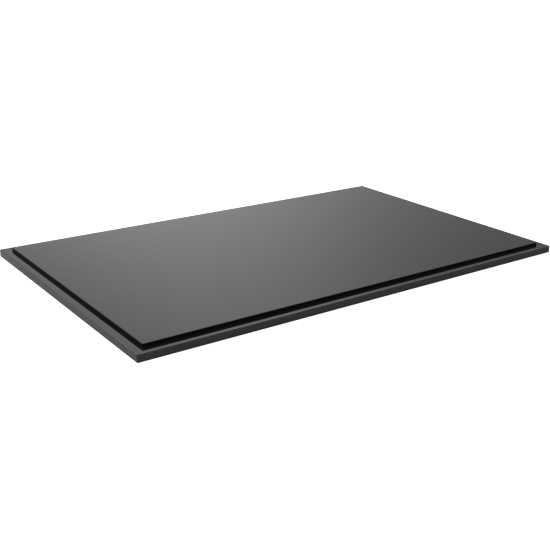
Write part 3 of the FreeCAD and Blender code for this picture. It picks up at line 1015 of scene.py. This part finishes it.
def face_seal(soft):
    """Lipped seal: its top is a raised cosine across its width, with two lips and a hollow between."""
    low, high = heights("face_seal")
    width, lip = soft.face_seal_width, soft.face_seal_lip
    across = np.linspace(1, -1, 17)
    crown = np.stack([(across - 1) * width / 2, high - lip * (1 + np.cos(FULL_TURN * across)) / 2], -1)
    profile = np.concatenate([[(-width, low), (0, low)], crown])
    silicone = moulded_rubber("silicone_seal", soft.seal_colour, roughness=0.5, cell_scale=3200,
                              cell_depth=0.006 * MM)
    seal_strip("face_seal", profile, silicone, soft)


def rear_seal(soft):
    """Foam strip: a rectangle with well rounded edges carried round the board's back."""
    low, high = heights("rear_seal")
    width = soft.rear_seal_width
    profile = round_corners([(-width, low), (0, low), (0, high), (-width, high)], FOAM_EDGE)
    foam = moulded_rubber("closed_cell_foam", soft.foam_colour, roughness=0.85, cell_scale=1500,
                          cell_depth=0.05 * MM)
    seal_strip("rear_seal", profile, foam, soft)


def rest_pads(soft):
    """Polyurethane pads: a top that falls with the square of the radius, less ring grooves whose
    section is the exponential of minus a square, at even steps of the radius."""
    low, high = heights("rest_pads")
    radius = soft.pad_diameter / 2
    r = np.linspace(radius - PAD_RIM, AXIS_CAP, 40)
    share = r / radius
    from_groove = (share % GROOVE_STEP - GROOVE_STEP / 2) / GROOVE_WIDTH
    top = high - PAD_DOME * share ** 2 - PAD_GROOVE * np.exp(-from_groove ** 2)
    side = round_corners([(AXIS_CAP, low), (radius, low), (radius, top[0] - PAD_RIM / 2), (r[0], top[0])],
                         PAD_RIM / 2, closed=False)
    outline = np.concatenate([side[:-1], np.stack([r, top], -1)])
    urethane = moulded_rubber("soft_polyurethane", soft.pad_colour, roughness=0.38, cell_scale=2600,
                              cell_depth=0.003 * MM)
    finished("rest_pads", copies(surface(turned(outline)), pad_places(soft)), urethane, CARRIER)


# ---- stage ----
# each lit board's heading in degrees, radiance, tightness and lean
LIT_BOARDS = (
    (29.8, 0.71, 30, 0.45),
    (150, 0.35, 12, 0.0),
    (-70, 0.3, 12, 0.0),
)
LEVEL_OF_LEAN = 0.33     # sine of the elevation at which a leaning board stands at its own heading
CEILING_START, CEILING_FULL = math.sin(math.radians(25.5)), math.sin(math.radians(34))
WALL_FADE_START, WALL_FADE_END, WALL_FADE = 0.3, 0.42, 0.97   # sines of elevation, and what is left
COOL_HEADING, COOL_WHITE = math.radians(70), (0.94, 1.0, 0.975, 1)
COOL_START, COOL_FULL = math.cos(math.radians(34)), math.cos(math.radians(23))
WHITE = (1, 1, 1, 1)


def compass(heading, height=0.0):
    """Unit vector towards a heading, counted from +Y towards +X, at an elevation."""
    level = math.cos(height)
    return Vector((math.sin(heading) * level, math.cos(heading) * level, math.sin(height)))


def studio_world(stage):
    """Soft studio light.

    A wall whose radiance is a base plus one bump for each lit board, the exponential of the cosine
    of the angle from its heading, less one, times its tightness. A board that leans has its heading
    moved sideways in proportion to the sine of the elevation. A bright ceiling takes over from the
    wall as that sine passes between two values. Light from one side is a little cooler, and the
    backdrop itself is white.
    """
    world = bpy.data.worlds.new("studio")
    nodes = Nodes(world)
    way = nodes.add("ShaderNodeTexCoord").outputs["Generated"]
    level = nodes.vector("NORMALIZE", nodes.vector("MULTIPLY", way, (1, 1, 0)))
    height = nodes.add("ShaderNodeSeparateXYZ", way).outputs["Z"]
    wall = stage.base_light
    for heading, radiance, tightness, lean in LIT_BOARDS:
        towards, sideways = compass(math.radians(heading)), compass(math.radians(heading + 90))
        shift = nodes.maths("MULTIPLY_ADD", height, lean, -lean * LEVEL_OF_LEAN)
        axis = nodes.vector("MULTIPLY_ADD", sideways, shift, towards)
        nearness = nodes.vector("DOT_PRODUCT", level, axis, output="Value")
        power = nodes.maths("MULTIPLY_ADD", nearness, tightness, -tightness)
        wall = nodes.maths("MULTIPLY_ADD", nodes.maths("POWER", math.e, power), radiance, wall)
    wall = nodes.maths("MULTIPLY", wall, nodes.ranged(height, 1, WALL_FADE, WALL_FADE_START, WALL_FADE_END))
    ceiling = nodes.ranged(height, 0, 1, CEILING_START, CEILING_FULL, curve="SMOOTHSTEP")
    light = nodes.blend(ceiling, wall, stage.overhead_light, kind="FLOAT")
    side = nodes.vector("DOT_PRODUCT", level, compass(COOL_HEADING), output="Value")
    colour = nodes.blend(nodes.ranged(side, 0, 1, COOL_START, COOL_FULL), WHITE, COOL_WHITE)
    studio = nodes.add("ShaderNodeBackground", colour, light).outputs[0]
    backdrop = nodes.add("ShaderNodeBackground", WHITE, 1).outputs[0]
    seen = nodes.add("ShaderNodeLightPath").outputs["Is Camera Ray"]
    both = nodes.add("ShaderNodeMixShader", seen, studio, backdrop).outputs[0]
    nodes.add("ShaderNodeOutputWorld", both)
    bpy.context.scene.world = world


def floor(stage):
    """A level square of matte pale paper, lit up where it is seen directly, as an overexposed sweep is."""
    half, level = stage.floor_size / 2, BOARD_LOW.z
    corners = [(-half, -half, level), (half, -half, level), (half, half, level), (-half, half, level)]
    mesh = bpy.data.meshes.new("floor")
    mesh.from_pydata(corners, [], [(0, 1, 2, 3)])
    paper = Finish("matte_paper")
    fibre = paper.noise(900, detail=3)
    seen = paper.add("ShaderNodeLightPath").outputs["Is Camera Ray"]
    paper.shade(Base_Color=paper.varied(fibre, stage.floor_colour, 0.98, 1.02), Roughness=0.9,
                Specular_IOR_Level=0.1, Emission_Color=WHITE,
                Emission_Strength=paper.maths("MULTIPLY", seen, stage.backdrop_lift))
    mesh.materials.append(paper.material)
    linked("floor", mesh)


def key_light(stage):
    """A broad distant light, left out of the gloss so that it draws no disc there."""
    lamp = bpy.data.lights.new("key", "SUN")
    lamp.energy = stage.key_strength
    lamp.angle = stage.key_spread
    key = linked("key", lamp)
    key.rotation_euler = compass(stage.key_heading, stage.key_height).to_track_quat("Z", "Y").to_euler()
    key.visible_glossy = False


def camera(stage):
    """The camera looks at the middle of the object's base from a heading and an elevation.

    It is then rolled about its own axis and moved along its own right and up.
    """
    turn, lift = stage.heading, stage.height
    back = Vector((math.sin(turn) * math.cos(lift), -math.cos(turn) * math.cos(lift), math.sin(lift)))
    right = (-back).cross(Vector((0, 0, 1))).normalized()
    up = right.cross(-back)
    rolled_right = right * math.cos(stage.roll) + up * math.sin(stage.roll)
    rolled_up = up * math.cos(stage.roll) - right * math.sin(stage.roll)
    place = back * stage.distance + rolled_right * stage.offset_right + rolled_up * stage.offset_up
    lens = bpy.data.cameras.new("camera")
    lens.lens = stage.lens
    lens.sensor_width = 36
    lens.clip_start, lens.clip_end = 0.01, 100
    eye = linked("camera", lens)
    axes = Matrix((rolled_right, rolled_up, back)).transposed()
    eye.matrix_world = Matrix.Translation(place) @ axes.to_4x4()
    bpy.context.scene.camera = eye


# ---- operators ----
class Build:
    """What every operator here shares."""
    bl_options = {"REGISTER", "UNDO"}


class KICKPLATE_OT_carrier_board(Build, bpy.types.Operator):
    """Make the thick black board that is screwed to the door"""
    bl_idname = "kickplate.carrier_board"
    bl_label = "Carrier board"

    def execute(self, context):
        carrier_board(context.scene.kick_boards, context.scene.kick_fixings, context.scene.kick_soft)
        return {"FINISHED"}


class KICKPLATE_OT_face_plate(Build, bpy.types.Operator):
    """Make the thin black plate that lifts off"""
    bl_idname = "kickplate.face_plate"
    bl_label = "Face plate"

    def execute(self, context):
        face_plate(context.scene.kick_boards, context.scene.kick_fixings)
        return {"FINISHED"}


class KICKPLATE_OT_screw_cups(Build, bpy.types.Operator):
    """Make the steel cups for the eight mounting screws"""
    bl_idname = "kickplate.screw_cups"
    bl_label = "Screw cups"

    def execute(self, context):
        screw_cups(context.scene.kick_fixings)
        return {"FINISHED"}


class KICKPLATE_OT_magnets(Build, bpy.types.Operator):
    """Make the six pot magnets: steel cups and ring magnets"""
    bl_idname = "kickplate.magnets"
    bl_label = "Pot magnets"

    def execute(self, context):
        magnet_pots(context.scene.kick_fixings)
        magnet_rings(context.scene.kick_fixings)
        return {"FINISHED"}


class KICKPLATE_OT_magnet_screws(Build, bpy.types.Operator):
    """Make the screws that hold the pot magnets down"""
    bl_idname = "kickplate.magnet_screws"
    bl_label = "Magnet screws"

    def execute(self, context):
        magnet_screws(context.scene.kick_fixings)
        return {"FINISHED"}


class KICKPLATE_OT_threaded_inserts(Build, bpy.types.Operator):
    """Make the knurled brass inserts under the magnets"""
    bl_idname = "kickplate.threaded_inserts"
    bl_label = "Threaded inserts"

    def execute(self, context):
        threaded_inserts(context.scene.kick_fixings)
        return {"FINISHED"}


class KICKPLATE_OT_locating_dowels(Build, bpy.types.Operator):
    """Make the two dowels that carry the face plate"""
    bl_idname = "kickplate.locating_dowels"
    bl_label = "Locating dowels"

    def execute(self, context):
        locating_dowels(context.scene.kick_fixings)
        return {"FINISHED"}


class KICKPLATE_OT_dowel_bushes(Build, bpy.types.Operator):
    """Make the round and the slotted bush in the face plate"""
    bl_idname = "kickplate.dowel_bushes"
    bl_label = "Dowel bushes"

    def execute(self, context):
        dowel_bushes(context.scene.kick_fixings)
        return {"FINISHED"}


class KICKPLATE_OT_keepers(Build, bpy.types.Operator):
    """Make the steel keepers in the face plate and the discs that hold them"""
    bl_idname = "kickplate.keepers"
    bl_label = "Keepers"

    def execute(self, context):
        keeper_discs(context.scene.kick_fixings)
        keeper_pads(context.scene.kick_fixings)
        return {"FINISHED"}


class KICKPLATE_OT_seals(Build, bpy.types.Operator):
    """Make the lipped face seal and the rear foam strip"""
    bl_idname = "kickplate.seals"
    bl_label = "Seals"

    def execute(self, context):
        face_seal(context.scene.kick_soft)
        rear_seal(context.scene.kick_soft)
        return {"FINISHED"}


class KICKPLATE_OT_rest_pads(Build, bpy.types.Operator):
    """Make the pads that stop the face plate's middle from rattling"""
    bl_idname = "kickplate.rest_pads"
    bl_label = "Rest pads"

    def execute(self, context):
        rest_pads(context.scene.kick_soft)
        return {"FINISHED"}


class KICKPLATE_OT_stage(Build, bpy.types.Operator):
    """Make the floor, the studio light and the camera"""
    bl_idname = "kickplate.stage"
    bl_label = "Stage"

    def execute(self, context):
        stage = context.scene.kick_stage
        studio_world(stage)
        floor(stage)
        key_light(stage)
        camera(stage)
        context.scene.view_settings.view_transform = "Standard"
        return {"FINISHED"}


OPERATORS = (
    KICKPLATE_OT_carrier_board, KICKPLATE_OT_face_plate, KICKPLATE_OT_screw_cups, KICKPLATE_OT_magnets,
    KICKPLATE_OT_magnet_screws, KICKPLATE_OT_threaded_inserts, KICKPLATE_OT_locating_dowels,
    KICKPLATE_OT_dowel_bushes, KICKPLATE_OT_keepers, KICKPLATE_OT_seals, KICKPLATE_OT_rest_pads,
    KICKPLATE_OT_stage,
)


class KICKPLATE_PT_panel(bpy.types.Panel):
    """Settings and operators in the 3D view's sidebar"""
    bl_idname = "KICKPLATE_PT_panel"
    bl_label = "Kick plate"
    bl_space_type = "VIEW_3D"
    bl_region_type = "UI"
    bl_category = "Kick plate"

    def draw(self, context):
        for group in (context.scene.kick_boards, context.scene.kick_fixings, context.scene.kick_soft,
                      context.scene.kick_stage):
            column = self.layout.column()
            for name in group.__annotations__:
                column.prop(group, name)
        for operator in OPERATORS:
            self.layout.operator(operator.bl_idname)


GROUPS = {"kick_boards": BoardSettings, "kick_fixings": FixingSettings, "kick_soft": SoftSettings,
          "kick_stage": StageSettings}
CLASSES = (*GROUPS.values(), *OPERATORS, KICKPLATE_PT_panel)


def register():
    """Adds the classes, and the settings to the scene."""
    for item in CLASSES:
        bpy.utils.register_class(item)
    for name, group in GROUPS.items():
        setattr(bpy.types.Scene, name, PointerProperty(type=group))


def unregister():
    """Takes the settings and the classes away again."""
    for name in GROUPS:
        delattr(bpy.types.Scene, name)
    for item in reversed(CLASSES):
        bpy.utils.unregister_class(item)


def main():
    """Registers the classes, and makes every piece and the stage."""
    register()
    for operator in OPERATORS:
        group, name = operator.bl_idname.split(".")
        getattr(getattr(bpy.ops, group), name)()


if __name__ == "__main__":
    main()
